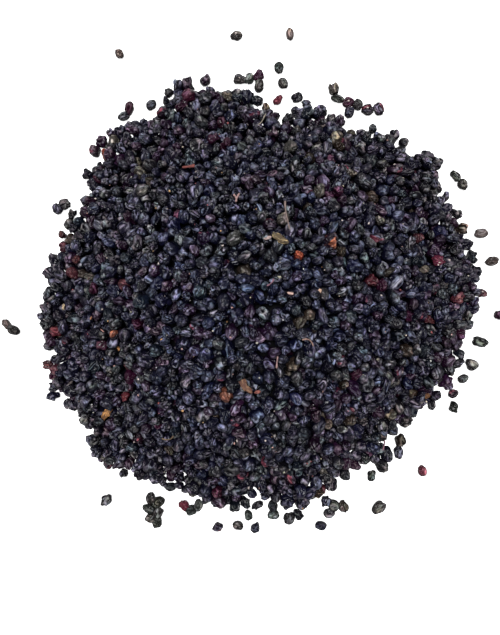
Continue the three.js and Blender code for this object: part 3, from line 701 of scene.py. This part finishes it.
# A loose berry lies on its side: half its height, by its width, and its middle's, by that.
STRAY_HEIGHT = 0.45
STRAY_MIDDLE = 0.93
STRAY_LEAN = 0.25


def heap_berry(row, look, tone, rng):
    x, y, z, r = row
    full = r * (1 + FOOT_SWELL * cone_share(x, y))
    stretch = rng.normal(1, STRETCH_SPREAD, 3).clip(*STRETCH_LIMITS)
    half = full * np.array(BERRY_STRETCH) * stretch
    turn = rng.uniform(-math.pi, math.pi, 3)
    share = foot_share(x, y)
    # Painted shade on the lower slope.
    on_slope = max(0, 1 - abs(share - SLOPE_MIDDLE) / SLOPE_REACH)
    tone *= 1 - SLOPE_SHADE * on_slope
    warmth = TOP_WARMTH + (FOOT_WARMTH - TOP_WARMTH) * share
    return Berry((x, y, z), half, turn, look, way_out(x, y), tone, warmth)


def stray_berry(x, y, length, width, turn, look, rng):
    height = STRAY_HEIGHT * width
    lean = rng.uniform(-STRAY_LEAN, STRAY_LEAN, 2)
    half = (length / 2, width / 2, height)
    return Berry((x, y, height * STRAY_MIDDLE), half, (*lean, math.radians(turn)), look)


# ---- materials

# The share of the bloom that is left where the skin is worn, between the folds of the least and the
# most crumpled berries, in creases, and between the grains of the skin. Less between the folds and
# in creases is partly the skin's own and partly painted shade.
WORN_BLOOM = 0.22
SMOOTH_BLOOM = 0.45
CRUMPLED_BLOOM = 0.03
CREASE_SHADE_BLOOM = 0.55
GRAIN_BLOOM = 0.76
BLOOM_CONTRAST = 1.6
SIDE_SHADE_FACING = (0.40, 0.93)  # painted shade: from no bloom to all of it, by how squarely a side faces up and out, towards the light
DRIFT_SPAN = (0.7, 0.5, 0.7)  # the bloom's own colour drifts over the skin
DRIFT_BASE = (0.65, 0.75, 0.65)
SHADED_BLUSH = 0.15  # of a blush shows where there is no bloom, and where the bloom's painted shade falls
SCAR_RISE = (0.972, 0.988)
SCAR_COLOUR = (0.34, 0.29, 0.27, 1)
BARE_ROUGHNESS = 0.27
BLOOM_ROUGHNESS = 0.68
STREAKED_STALK = (1.0, 2.2, 2.2)  # a stalk's streaks and a husk's veins run lengthwise
VEINED_HUSK = (0.8, 4.0, 4.0)
# Next to black: painted shade for what shows of the buried berries.
BURIED_SHADE_DARK = (0.0002, 0.0002, 0.0004, 1)
BURIED_SHADE_LIGHT = (0.0012, 0.0011, 0.0018, 1)


def new_material(name, roughness, gloss=0.25):
    material = bpy.data.materials.new(name)
    material.use_nodes = True
    tree = material.node_tree
    skin = tree.nodes["Principled BSDF"]
    skin.inputs["Roughness"].default_value = roughness
    skin.inputs["Specular IOR Level"].default_value = gloss
    return material, tree, skin


def noted(tree, name, output="Color"):
    return put(tree, "ShaderNodeAttribute", attribute_name=name).outputs[output]


def dress(tree, skin, colour, height=None, strength=1.0, depth=0.0):
    """Gives a skin its colour, and bumps as deep as a number of millimetres."""
    tree.links.new(colour, skin.inputs["Base Color"])
    if height is not None:
        feeds = {"Height": height, "Strength": strength, "Distance": depth * MM}
        tree.links.new(made(tree, "ShaderNodeBump", feeds), skin.inputs["Normal"])


def crumpled_group():
    """The folds of a dried skin as two masks, for every material that has them."""
    takes = {"Place": ("Vector", None), "Folds": ("Float", FOLDS[0])}
    gives = {"Broad": ("Float", None), "Fine": ("Float", None)}
    tree, given, result = new_tree("crumpled_skin", "ShaderNodeTree", takes, gives)
    broad, fine = crumpled(tree, given["Place"], given["Folds"])
    tree.links.new(broad, result["Broad"])
    tree.links.new(fine, result["Fine"])
    return tree


def folded(tree, group):
    """Where a spot lies in its skin's noises, and how high its broad and fine folds stand."""
    place = skin_place(tree, noted(tree, "local", "Vector"), noted(tree, "seed", "Vector"))
    feeds = {"Place": place, "Folds": noted(tree, "folds", "Fac")}
    folds = put(tree, "ShaderNodeGroup", feeds, node_tree=group).outputs
    return place, folds["Broad"], folds["Fine"]


def bloom_and_painted_shade(tree, place, broad, fine, grain):
    """How much bloom is left: on ridges and in patches, less in creases, and less on sides that
    turn from the light, which is painted shade.
    """
    worn = ramped(tree, noise(tree, place, 1.7, detail=2.0), 0.32, 0.64, WORN_BLOOM, 1.0)
    between = ramped(tree, noted(tree, "crumple", "Fac"), 0.4, 1.1, SMOOTH_BLOOM, CRUMPLED_BLOOM)
    # More bloom on ridges and less in creases: partly the skin's own, partly painted highlight and
    # painted shade.
    on_lit_ridges = ramped(tree, broad, 0.12, 1.0, between, 1.0)
    off_shaded_creases = ramped(tree, fine, 0.0, 0.9, CREASE_SHADE_BLOOM, 1.0)
    speckled = ramped(tree, grain, 0.30, 0.60, GRAIN_BLOOM, 1.0)
    left = product(tree, worn, on_lit_ridges, off_shaded_creases, speckled)
    # Sides that face away from the light lose their bloom: painted shade.
    side_shade = ramped(tree, noted(tree, "facing", "Fac"), *SIDE_SHADE_FACING)
    return product(tree, maths(tree, "POWER", left, BLOOM_CONTRAST), side_shade)


def berry_skin(group):
    """Nearly black skin with pale bloom on its folds, a blush on some, and a flower's scar. The
    bloom is brighter on ridges and less in creases and on sides that face away from the light,
    partly as painted highlight and painted shade.
    """
    material, tree, skin = new_material("dried_berry_skin", BLOOM_ROUGHNESS, gloss=0.16)
    place, broad, fine = folded(tree, group)
    grain = noise(tree, place, 9.0, detail=3.0, roughness=0.6)
    bloom_and_shade = bloom_and_painted_shade(tree, place, broad, fine, grain)
    drift = noise(tree, place, 1.2, detail=1.0, output=1)
    drift = vectors(tree, "MULTIPLY_ADD", drift, DRIFT_SPAN, DRIFT_BASE)
    bloom = vectors(tree, "MULTIPLY", noted(tree, "bloom"), drift)
    colour = mixed(tree, bloom_and_shade, noted(tree, "skin"), bloom)
    # A blush covers the share of the berry that its alpha gives.
    blush = put(tree, "ShaderNodeAttribute", attribute_name="blush").outputs
    blotch = noise(tree, place, 0.8, detail=1.0)
    reach = maths(tree, "MULTIPLY_ADD", blush["Alpha"], 0.5, 0.24)
    blushed = ramped(tree, maths(tree, "SUBTRACT", reach, blotch), -0.02, 0.05)
    has_blush = maths(tree, "GREATER_THAN", blush["Alpha"], 0.01)
    shaded = maths(tree, "MULTIPLY_ADD", bloom_and_shade, 1 - SHADED_BLUSH, SHADED_BLUSH)
    blushed = product(tree, blushed, has_blush, shaded)
    colour = mixed(tree, blushed, colour, blush["Color"])
    # The pale scar where the flower sat.
    pole = put(tree, "ShaderNodeSeparateXYZ", {0: noted(tree, "local", "Vector")}).outputs[2]
    scar = product(tree, ramped(tree, pole, *SCAR_RISE), noted(tree, "dot", "Fac"))
    colour = mixed(tree, scar, colour, SCAR_COLOUR)
    feeds = {"Value": bloom_and_shade, "To Min": BARE_ROUGHNESS, "To Max": BLOOM_ROUGHNESS}
    tree.links.new(made(tree, "ShaderNodeMapRange", feeds), skin.inputs["Roughness"])
    height = maths(tree, "MULTIPLY_ADD", broad, 0.6, product(tree, fine, 0.35))
    height = maths(tree, "MULTIPLY_ADD", grain, 0.18, height)
    dress(tree, skin, colour, height, depth=0.45)
    return material


def stalk_skin():
    """Dried stalk: streaked along its length, darker in its grooves."""
    material, tree, skin = new_material("dried_stalk", 0.75, gloss=0.3)
    place = vectors(tree, "MULTIPLY", noted(tree, "grain", "Vector"), STREAKED_STALK)
    streaks = noise(tree, place, 1.4, detail=3.0, roughness=0.6)
    tint = noted(tree, "tint")
    share = ramped(tree, streaks, 0.32, 0.62)
    colour = mixed(tree, share, scaled(tree, tint, 0.45), scaled(tree, tint, 1.25))
    dress(tree, skin, colour, streaks, strength=0.6, depth=0.15)
    return material


def husk_skin(group):
    """Papery husk: veined along its length, with darker folds and flecks."""
    material, tree, skin = new_material("dried_husk", 0.7)
    place, broad, fine = folded(tree, group)
    veins = noise(tree, vectors(tree, "MULTIPLY", place, VEINED_HUSK), 1.6, detail=2.0)
    on_folds = ramped(tree, broad, 0.0, 0.8, 0.25, 1.0)
    on_veins = ramped(tree, veins, 0.42, 0.58, 0.15, 1.0)
    flecks = ramped(tree, noise(tree, place, 1.3, detail=2.0), 0.42, 0.56, 0.15, 1.0)
    share = product(tree, on_folds, on_veins, flecks)
    colour = mixed(tree, share, noted(tree, "skin"), noted(tree, "bloom"))
    height = maths(tree, "MULTIPLY_ADD", veins, 0.6, product(tree, fine, 0.3))
    dress(tree, skin, colour, height, strength=0.7, depth=0.25)
    return material


def crumb_skin():
    """Dry scraps with darker spots."""
    material, tree, skin = new_material("dry_crumbs", 0.8)
    place = vectors(tree, "ADD", noted(tree, "local", "Vector"), noted(tree, "seed", "Vector"))
    shade = ramped(tree, noise(tree, place, 1.5, detail=2.0), 0.3, 0.65)
    colour = mixed(tree, shade, noted(tree, "skin"), noted(tree, "bloom"))
    dress(tree, skin, colour)
    return material


def painted_shade_core():
    """What shows of the berries deep in the gaps: next to black, as painted shade."""
    material, tree, skin = new_material("buried_berries", 0.9, gloss=0.1)
    place = put(tree, "ShaderNodeTexCoord").outputs["Object"]
    colour = mixed(tree, noise(tree, place, 300.0), BURIED_SHADE_DARK, BURIED_SHADE_LIGHT)
    dress(tree, skin, colour)
    return material


# ---- the heap

BERRY_TREE = wrinkled_berries_tree()
CRUMPLED_SKIN = crumpled_group()
BERRY_SKIN = berry_skin(CRUMPLED_SKIN)
HUSK_SKIN = husk_skin(CRUMPLED_SKIN)
STALK_SKIN = stalk_skin()
CRUMB_SKIN = crumb_skin()
RINGS = 6
LOOK_SEED = 5
# A berry has 2 triangles for each corner, less 4.
CLEAR_FORM = {"corners": 205}
OUTER_FORM = {"corners": 96, "fold_height": 0.09, "crease_depth": 0.02}
BACKING_FORM = {"corners": 32}
STRAY_FORM = {"corners": 480, "crowding": 0.2, "dent_depth": 0.24, "fold_height": 0.11}
CLUMP_FORM = {**STRAY_FORM, "swell": 1.08}
HUSK_FORM = {"corners": 300, "crowding": 0.0, "dent_depth": 0.30, "fold_height": 0.26}
CRUMB_FORM = {"corners": 14, "crowding": 0.0}
CHIP_FORM = {"corners": 60, "crowding": 0.0}
FRONT_BULGE = 0.8  # a berry's face, as seen, is this share of its radius before its middle
CORE_SHARE = 0.9  # the core's radius beside the heap's foot
CORE_DEPTH = 7.5
CORE_EDGE = 0.3
CORE_RINGS = 24
CORE_STEPS = 96


def pick_looks(count, rng):
    weights = np.array([look.weight for look in LOOKS.values()], float)
    return rng.choice(list(LOOKS), count, p=weights / weights.sum()).astype(object)


def berry_piece(name, berries, rng, form, skin=BERRY_SKIN):
    piece = berry_points(name, berries, rng)
    return grown_mesh(piece, BERRY_TREE, material=skin, **form)


def finish(piece, slot, *nodes):
    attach(piece, "root")
    if nodes:
        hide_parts(*nodes)


def joined(name, parts):
    """Several pieces as one."""
    with bpy.context.temp_override(active_object=parts[0], selected_editable_objects=parts):
        bpy.ops.object.join()
    parts[0].name = name
    parts[0].data.name = name
    return parts[0]


def with_accents(rows, looks):
    """The looks of some berries, where the foremost one at an accent's pixel has the accent's."""
    arms = rows[:, :3] - np.array(CAMERA_AT)
    for look, pixels in ACCENTS.items():
        for px, py in pixels:
            east = (px - PICTURE[0] / 2) * FLOOR_SCALE
            north = (PICTURE[1] / 2 - py) * FLOOR_SCALE
            line = np.array((east, north, -CAMERA_AT.z))
            line /= np.linalg.norm(line)
            along = arms @ line
            beside = np.linalg.norm(arms - along[:, None] * line, axis=1)
            hit = along - FRONT_BULGE * (rows[:, 3] - beside).clip(0)
            hit[beside > rows[:, 3]] = np.inf
            nearest = beside if np.isinf(hit).all() else hit
            looks[nearest.argmin()] = look
    return looks


def close_mesh(mesh):
    """Merges its doubles and turns its faces outwards."""
    form = bmesh.new()
    form.from_mesh(mesh)
    bmesh.ops.remove_doubles(form, verts=form.verts, dist=1e-7)
    bmesh.ops.recalc_face_normals(form, faces=form.faces)
    form.to_mesh(mesh)
    form.free()


def core_mound():
    """The dark berries deep in the heap, as one body that shows only in gaps; its near-black colour
    is painted shade.
    """
    spots = []
    for ring in range(CORE_RINGS + 1):
        for step in range(CORE_STEPS):
            angle = math.tau * step / CORE_STEPS
            out = CORE_SHARE * foot_radius(math.cos(angle), math.sin(angle)) * ring / CORE_RINGS
            x, y = out * math.cos(angle), out * math.sin(angle)
            spots.append((x * MM, y * MM, max(CORE_EDGE, heap_height(x, y) - CORE_DEPTH) * MM))
    # The last ring comes once more, on the floor.
    spots += [(x, y, 0) for x, y, _ in spots[-CORE_STEPS:]]
    faces = []
    for ring in range(CORE_RINGS + 1):
        for step in range(CORE_STEPS):
            here = ring * CORE_STEPS + step
            beside = ring * CORE_STEPS + (step + 1) % CORE_STEPS
            faces.append((here, here + CORE_STEPS, beside + CORE_STEPS, beside))
    faces.append(tuple(range(len(spots) - 1, len(spots) - CORE_STEPS - 1, -1)))
    mesh = new_mesh("berries_buried", spots, faces)
    mesh.materials.append(painted_shade_core())
    close_mesh(mesh)
    return placed(mesh.name, mesh)


def build_heap():
    rng = np.random.default_rng(LOOK_SEED)
    rows = np.array([row for row in pour_berries() if stray_gap(*row[:2]) > SHOWN_CLEARANCE])
    shares = np.array([foot_share(x, y) for x, y in rows[:, :2]])
    depth = np.array([heap_height(x, y) for x, y in rows[:, :2]]) - rows[:, 2]
    shown = shares_from_above(rows)
    outer = (shown > SHOWN_SHARE) | (shares > FOOT_ZONE)
    backing = ~outer & (depth < BACKING_DEPTH)
    looks = pick_looks(len(rows), rng)
    looks[outer] = with_accents(rows[outer], looks[outer])
    # Berries that others cover keep less bloom: painted shade in the gaps.
    shade_tones = SUNK_SHADE_TONE + (1 - SUNK_SHADE_TONE) * (shown / CLEAR_SHARE).clip(0, 1)
    order = np.flatnonzero(outer)[np.argsort(shares[outer])]  # from the middle outwards
    pieces = []
    for ring, part in enumerate(np.array_split(order, RINGS), 1):
        clear = shown[part] > CLEAR_SHARE
        halves = []
        for members, form in ((part[clear], CLEAR_FORM), (part[~clear], OUTER_FORM)):
            berries = [heap_berry(rows[i], looks[i], shade_tones[i], rng) for i in members]
            halves.append(berry_piece("half", berries, rng, form))
        pieces.append(joined(f"berries_ring_{ring}", halves))
    # Hidden berries keep hardly any bloom: painted shade.
    hidden = [heap_berry(row, "dark", BACKING_SHADE_TONE, rng) for row in rows[backing]]
    pieces.append(berry_piece("berries_between", hidden, rng, BACKING_FORM))
    for piece in (*pieces, core_mound()):
        finish(piece, "berry", "berry_heap")
    return pieces


def build_strays():
    rng = np.random.default_rng(LOOK_SEED + 1)
    for number, stray in enumerate(STRAY_BERRIES, 1):
        berry = stray_berry(*stray, rng)
        piece = berry_piece(f"loose_berry_{number:02}", [berry], rng, STRAY_FORM)
        finish(piece, "berry", f"stray_berry_{number:02}")
    for number, clump in enumerate(STRAY_CLUMPS, 1):
        berries = [stray_berry(*stray, rng) for stray in clump]
        piece = berry_piece(f"loose_clump_{number:02}", berries, rng, CLUMP_FORM)
        finish(piece, "berry", f"stray_clump_{number:02}")


# ---- bits on the heap

BIT_SEED = 31
SINK = 0.15  # what lies on the heap has settled this far in among the berries
STALK_RINGS = 26
STALK_SIDES = 12
STALK_GROOVES = 5
GROOVE_DEPTH = 0.10
GROOVE_TWIST = 0.08
SIDE_SPREAD = (0.95, 1.05)
GRAIN_REACH = 50
GRAIN_STEP = 0.25
STALK_WAVE = 0.05  # its thickness varies by this radius
STALK_WAVES = 9
STALK_TIPS = (0.55, 0.45)  # its ends are blunted to these shares of their radius
FORK_TAPER = 0.8
HUSK_HALF_HEIGHT = 0.55
HUSK_FOOTING = 0.2  # of its length round its middle, where what carries a husk lies
# A husk's flakes: the shift of each, by the husk's length, its swing in degrees and its size.
HUSK_FLAKES = ((0.02, 0, 0.86), (-0.22, 24, 0.66), (0.24, -20, 0.60), (0.30, 32, 0.40))
CRUMB_ZONE = 0.97  # crumbs lie within this share of the foot's radius
CRUMB_STRETCH = (0.6, 1.4)
CRUMB_RISE = 0.6
CHIP_HALF_HEIGHT = 0.4  # of a chip's width
CHIP_RISE = 0.3


def height_over(pieces, x, y):
    """The height of the heap's skin over a point, in millimetres."""
    hits = [piece.ray_cast((x * MM, y * MM, 1), (0, 0, -1)) for piece in pieces]
    return max([0.0] + [spot.z / MM for hit, spot, _, _ in hits if hit])


def along_route(route, share):
    """A point of the even curve through three places."""
    first, middle, last = (np.array(place) for place in route)
    ease = (1 - share) * (1 - 2 * share)
    return ease * first + 4 * share * (1 - share) * middle + share * (2 * share - 1) * last


def stalk_arm(form, path, radii, grain_layer, rng):
    """A grooved, closed tube along a path, in millimetres."""
    twist = rng.uniform(0, math.tau)
    grain = rng.uniform(-GRAIN_REACH, GRAIN_REACH)
    rings = []
    for step, (spot, radius) in enumerate(zip(path, radii)):
        ahead = path[min(step + 1, len(path) - 1)] - path[max(step - 1, 0)]
        side = ahead.cross(Vector((0, 0, 1))).normalized()
        rise = side.cross(ahead).normalized()
        ring = []
        for corner in range(STALK_SIDES):
            angle = math.tau * corner / STALK_SIDES
            wave = math.cos(STALK_GROOVES * angle + twist + GROOVE_TWIST * step)
            reach = radius * (1 + GROOVE_DEPTH * wave) * rng.uniform(*SIDE_SPREAD)
            arm = side * (reach * math.cos(angle)) + rise * (reach * math.sin(angle))
            vertex = form.verts.new((spot + arm) * MM)
            along = grain + GRAIN_STEP * step
            vertex[grain_layer] = Vector((along, math.cos(angle), math.sin(angle)))
            ring.append(vertex)
        rings.append(ring)
    for lower, upper in zip(rings, rings[1:]):
        for corner in range(STALK_SIDES):
            beside = (corner + 1) % STALK_SIDES
            form.faces.new((lower[corner], lower[beside], upper[beside], upper[corner]))
    form.faces.new(rings[0][::-1])
    form.faces.new(rings[-1])


def stalk_piece(name, arms, colour, heap, rng):
    """A dried stalk of one arm or more, which slopes as the heap does."""
    form = bmesh.new()
    grain_layer = form.verts.layers.float_vector.new("grain")
    shares = [step / (STALK_RINGS - 1) for step in range(STALK_RINGS)]
    base = None
    for route, thick, thin in arms:
        flat = [along_route(route, share) for share in shares]
        slope = [heap_height(*spot) for spot in flat]
        if base is None:
            over = [height_over(heap, *spot) for spot in flat]
            lift = max(high - low for high, low in zip(over, slope))
        else:
            lift = base - slope[0]
        lift += thick - SINK
        path = [Vector((*spot, low + lift)) for spot, low in zip(flat, slope)]
        radii = [
            thick + (thin - thick) * share + STALK_WAVE * math.sin(STALK_WAVES * share)
            for share in shares
        ]
        radii[0] *= STALK_TIPS[0]
        radii[-1] *= STALK_TIPS[1]
        stalk_arm(form, path, radii, grain_layer, rng)
        # A fork leaves from the middle of the first arm.
        base = path[STALK_RINGS // 2].z - thick + SINK
    mesh = bpy.data.meshes.new(name)
    form.to_mesh(mesh)
    form.free()
    close_mesh(mesh)
    mesh.shade_smooth()
    note(mesh, "tint", np.tile((*colour, 1.0), (len(mesh.vertices), 1)))
    mesh.materials.append(STALK_SKIN)
    return placed(name, mesh)


def husk_flakes(x, y, length, width, turn, look, heap):
    around = HUSK_FOOTING * length * np.array([(0, 0), *COMPASS])
    floor = max(height_over(heap, x + east, y + north) for east, north in around)
    middle = np.array((x, y, floor + HUSK_HALF_HEIGHT - SINK))
    half = np.array((length / 2, width / 2, HUSK_HALF_HEIGHT))
    heading = math.radians(turn)
    lengthwise = length * np.array((math.cos(heading), math.sin(heading), 0))
    return [
        Berry(middle + shift * lengthwise, size * half, (0, 0, math.radians(turn + swing)), look)
        for shift, swing, size in HUSK_FLAKES
    ]


def crumbs_on(heap, rng):
    crumbs = []
    while len(crumbs) < CRUMBS:
        x, y = rng.uniform(-CONE_RADIUS, CONE_RADIUS, 2)
        if foot_share(x, y) > CRUMB_ZONE:
            continue
        radius = rng.uniform(*CRUMB_RADIUS)
        middle = (x, y, height_over(heap, x, y) + CRUMB_RISE * radius)
        half = radius * rng.uniform(*CRUMB_STRETCH, 3)
        crumbs.append(Berry(middle, half, rng.uniform(-3, 3, 3), "crumb"))
    return crumbs


def chips_on(heap):
    chips = []
    for x, y, length, width, turn, colour in CHIPS:
        middle = (x, y, height_over(heap, x, y) + CHIP_RISE * width)
        half = (length / 2, width / 2, CHIP_HALF_HEIGHT * width)
        chips.append(Berry(middle, half, (0, 0, math.radians(turn)), "chip", colour=colour))
    return chips


def build_bits(heap):
    rng = np.random.default_rng(BIT_SEED)
    for number, (route, thick, thin, colour) in enumerate(STALK_BITS, 1):
        arms = [(route, thick, thin)]
        if number in FORKS:
            arms.append((FORKS[number], thin, thin * FORK_TAPER))
        piece = stalk_piece(f"dried_stalk_{number:02}", arms, colour, heap, rng)
        finish(piece, "stalk", f"stalk_bit_{number:02}")
    for number, husk in enumerate(HUSK_BITS, 1):
        flakes = husk_flakes(*husk, heap)
        piece = berry_piece(f"dried_husk_{number:02}", flakes, rng, HUSK_FORM, HUSK_SKIN)
        finish(piece, "husk", f"husk_bit_{number:02}")
    crumbs = berry_piece("dry_crumbs", crumbs_on(heap, rng), rng, CRUMB_FORM, CRUMB_SKIN)
    chips = berry_piece("dry_chips", chips_on(heap), rng, CHIP_FORM, CRUMB_SKIN)
    finish(crumbs, "husk")
    finish(chips, "husk")


# ---- the studio

FLOOR_REACH = 3.0
PAPER = (0.40, 0.40, 0.40, 1)
WHITE = (1, 1, 1, 1)
ROOM_LIGHT = 0.016
SOFTBOX_SIZE = 0.32
SOFTBOX_POWER = 17.2
SOFTBOX_AT = (-0.05, 0.12, 0.80)


def build_floor():
    """Plain paper that looks white, and throws back a paper's share of the light."""
    side = FLOOR_REACH
    corners = [(-side, -side, 0), (side, -side, 0), (side, side, 0), (-side, side, 0)]
    mesh = new_mesh("floor", corners, [(0, 1, 2, 3)])
    material, tree, paper = new_material("white_paper", 0.9, gloss=0.0)
    paper.inputs["Base Color"].default_value = PAPER
    paper.inputs["Emission Color"].default_value = WHITE
    seen = put(tree, "ShaderNodeLightPath").outputs["Is Camera Ray"]
    tree.links.new(seen, paper.inputs["Emission Strength"])
    mesh.materials.append(material)
    placed("floor", mesh)


def build_studio():
    scene = bpy.context.scene
    build_floor()
    world = bpy.data.worlds.new("studio")
    world.use_nodes = True
    sky = world.node_tree
    backdrop = sky.nodes["Background"]
    backdrop.inputs["Color"].default_value = WHITE
    seen = put(sky, "ShaderNodeLightPath").outputs["Is Camera Ray"]
    sky.links.new(maths(sky, "MAXIMUM", seen, ROOM_LIGHT), backdrop.inputs["Strength"])
    scene.world = world

    light = bpy.data.lights.new("softbox", "AREA")
    light.shape = "DISK"
    light.size = SOFTBOX_SIZE
    light.energy = SOFTBOX_POWER
    softbox = placed("softbox", light)
    softbox.location = SOFTBOX_AT
    softbox.rotation_euler = (-softbox.location).to_track_quat("-Z", "Y").to_euler()

    camera = bpy.data.cameras.new("camera")
    camera.sensor_width = SENSOR
    camera.lens = SENSOR * CAMERA_AT.z / (PICTURE[1] * FLOOR_SCALE)
    camera.clip_start = 0.01
    viewer = placed("camera", camera)
    viewer.location = CAMERA_AT * MM
    scene.camera = viewer
    scene.view_settings.view_transform = "Standard"


build_studio()
build_bits(build_heap())
build_strays()
